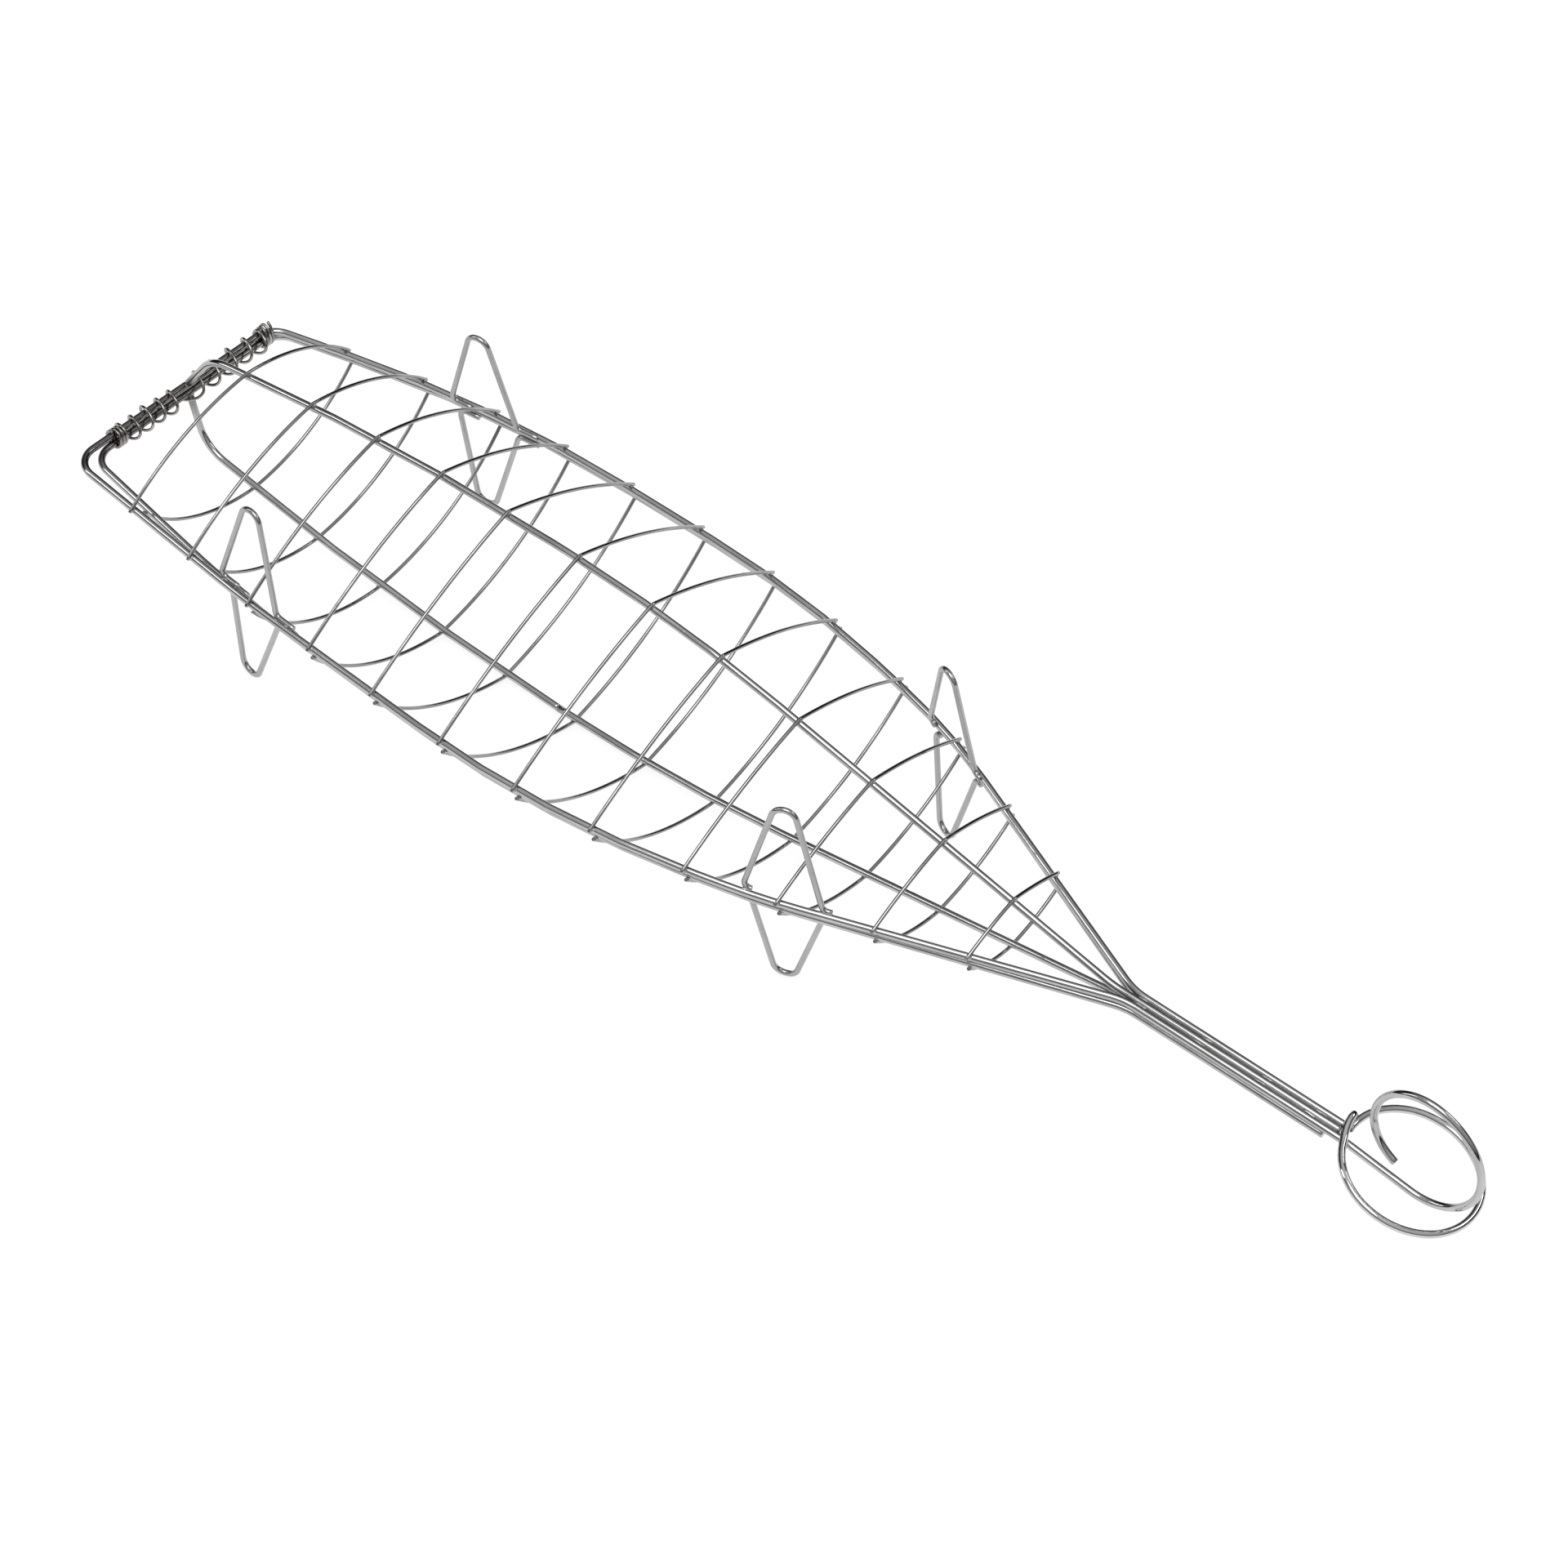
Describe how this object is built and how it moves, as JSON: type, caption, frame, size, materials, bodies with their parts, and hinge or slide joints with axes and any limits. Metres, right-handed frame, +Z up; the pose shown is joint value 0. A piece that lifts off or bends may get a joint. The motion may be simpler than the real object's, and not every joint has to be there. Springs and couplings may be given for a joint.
{
  "type": "grill basket",
  "caption": "Fish-shaped wire grill basket with two hinged halves, leg loops on both sides, a long wire handle, a sliding lock ring and a hanging eye.",
  "frame": {"origin": "on the ground under the middle of the closed basket, with the lower legs standing on Z = 0", "axes": "+X from the mouth hinge to the hanging eye, +Y across the basket, +Z up from the lower half to the upper half"},
  "size_m": [0.5838, 0.1487, 0.0895],
  "materials": {
    "frame_wire": "polished drawn stainless steel wire",
    "cross_wire": "polished drawn stainless steel wire",
    "leg_wire": "polished drawn stainless steel wire",
    "hinge_wire": "bright drawn wire, slightly heat-tinted",
    "ring_wire": "polished drawn stainless steel wire"
  },
  "bodies": {
    "lower_half": {"lower_rim": "frame_wire", "lower_spine": "frame_wire", "lower_cross_wire_01": "cross_wire", "lower_cross_wire_02": "cross_wire", "lower_cross_wire_03": "cross_wire", "lower_cross_wire_04": "cross_wire", "lower_cross_wire_05": "cross_wire", "lower_cross_wire_06": "cross_wire", "lower_cross_wire_07": "cross_wire", "lower_cross_wire_08": "cross_wire", "lower_cross_wire_09": "cross_wire", "lower_cross_wire_10": "cross_wire", "lower_cross_wire_11": "cross_wire", "lower_cross_wire_12": "cross_wire", "lower_leg_front_near": "leg_wire", "lower_leg_front_far": "leg_wire", "lower_leg_rear_near": "leg_wire", "lower_leg_rear_far": "leg_wire", "hinge_coil": "hinge_wire"},
    "upper_half": {"upper_rim": "frame_wire", "upper_spine": "frame_wire", "upper_cross_wire_01": "cross_wire", "upper_cross_wire_02": "cross_wire", "upper_cross_wire_03": "cross_wire", "upper_cross_wire_04": "cross_wire", "upper_cross_wire_05": "cross_wire", "upper_cross_wire_06": "cross_wire", "upper_cross_wire_07": "cross_wire", "upper_cross_wire_08": "cross_wire", "upper_cross_wire_09": "cross_wire", "upper_cross_wire_10": "cross_wire", "upper_cross_wire_11": "cross_wire", "upper_cross_wire_12": "cross_wire", "upper_leg_front_near": "leg_wire", "upper_leg_front_far": "leg_wire", "upper_leg_rear_near": "leg_wire", "upper_leg_rear_far": "leg_wire"},
    "lock_ring": {"lock_ring": "ring_wire"}
  },
  "joints": [
    {"name": "basket_hinge", "type": "hinge", "parent": "lower_half", "child": "upper_half", "pos_m": [-0.28675, 0, 0.04665], "axis": [-0.03, -0.9996, 0], "range_deg": [0, 125]},
    {"name": "ring_slide", "type": "slide", "parent": "upper_half", "child": "lock_ring", "axis": [-1, 0, 0], "range_m": [0, 0.08]}
  ]
}
